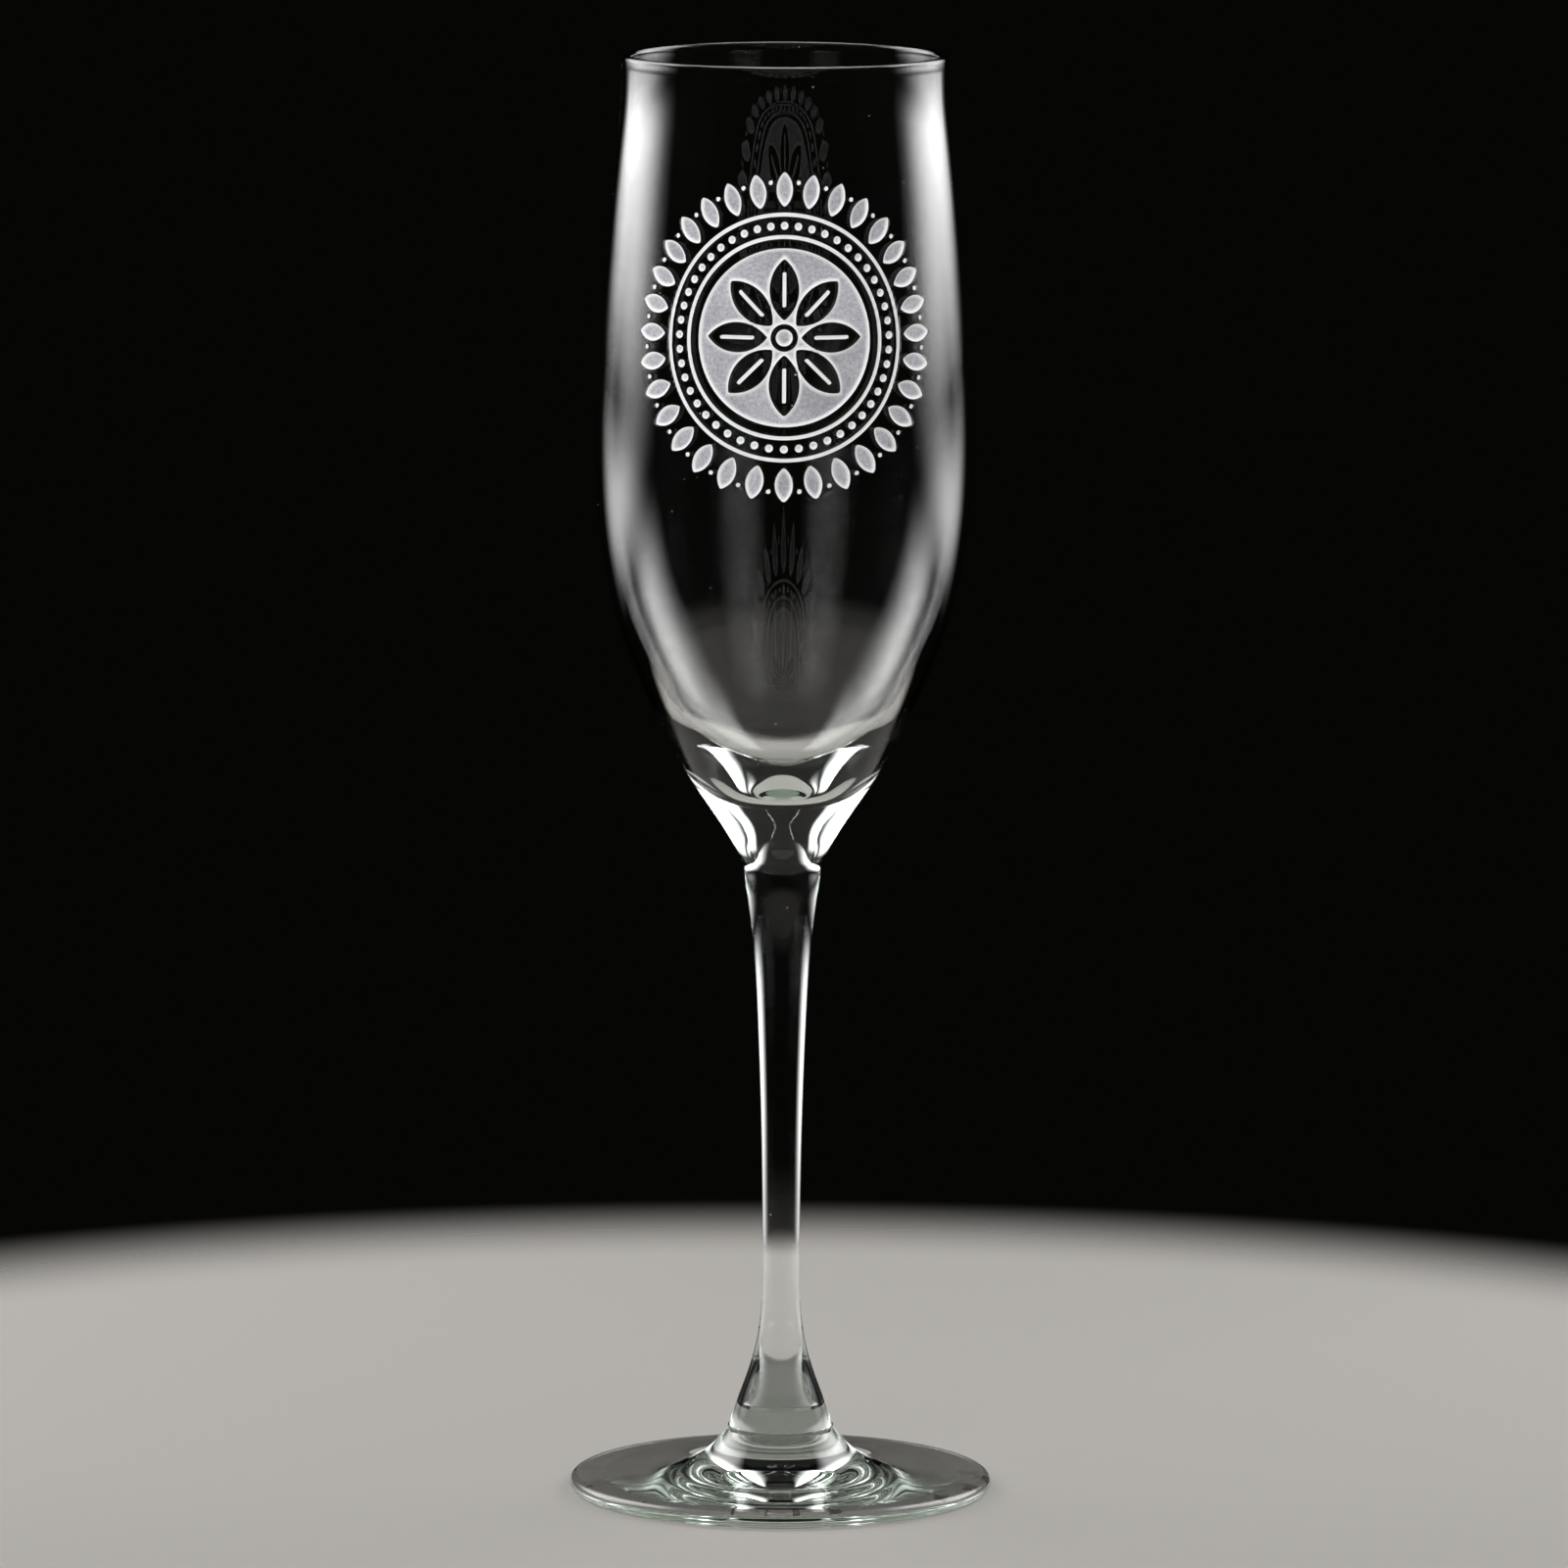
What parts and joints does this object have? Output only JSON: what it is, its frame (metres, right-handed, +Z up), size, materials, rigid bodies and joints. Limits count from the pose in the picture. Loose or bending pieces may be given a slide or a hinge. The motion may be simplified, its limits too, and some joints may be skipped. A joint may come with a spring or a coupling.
{
  "type": "champagne flute",
  "caption": "Tall clear glass flute: tulip bowl with a solid base and an etched medallion, drawn stem and round foot.",
  "frame": {"origin": "on the flute's axis, in the plane that the foot rests on", "axes": "+Z up along the axis from foot to rim; the etched medallion faces -Y"},
  "size_m": [0.066, 0.066, 0.225],
  "materials": {
    "bowl_glass": "clear polished soda-lime glass, frosted where it is etched",
    "clear_glass": "clear fire-polished soda-lime glass"
  },
  "bodies": {
    "root": {"bowl": "bowl_glass", "stem": "clear_glass", "foot": "clear_glass"}
  },
  "joints": []
}
